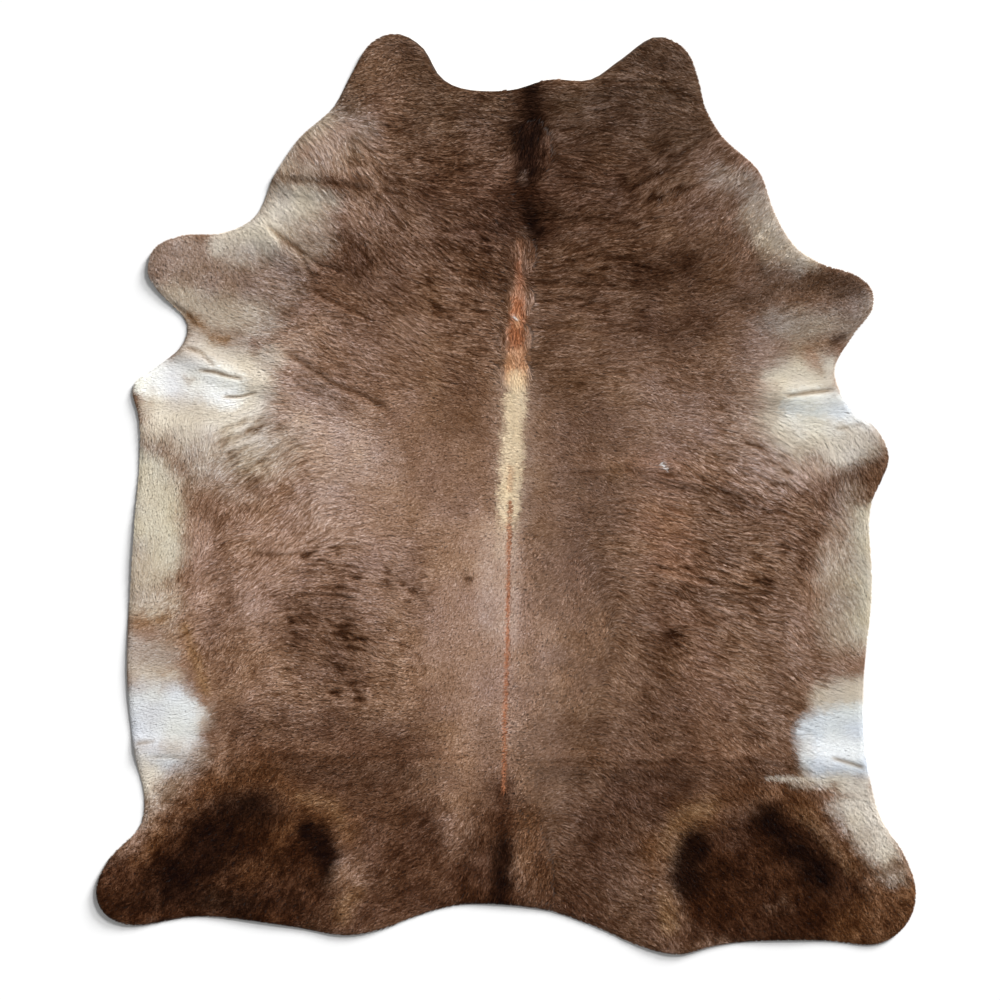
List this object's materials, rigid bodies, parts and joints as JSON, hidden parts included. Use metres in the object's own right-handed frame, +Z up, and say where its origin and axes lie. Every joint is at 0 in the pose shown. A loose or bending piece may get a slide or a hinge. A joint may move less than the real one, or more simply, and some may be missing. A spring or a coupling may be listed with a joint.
{
  "type": "cowhide rug",
  "caption": "Whole cattle hide with the hair on, laid flat as a floor rug, with neck, four leg lobes, flanks and rump.",
  "frame": {"origin": "on the floor, under the middle of the rug's bounding box", "axes": "+Y along the spine from the rump to the neck, +X to the right of that seen from above, +Z up out of the hair side"},
  "size_m": [2.004, 2.251, 0.0129],
  "materials": {
    "hair_coat": "hair-on hide, taupe brown with a dark neck stripe, a cream back stripe, white flank patches and near-black hind legs; suede underside"
  },
  "bodies": {
    "root": {"hide": "hair_coat"}
  },
  "joints": []
}
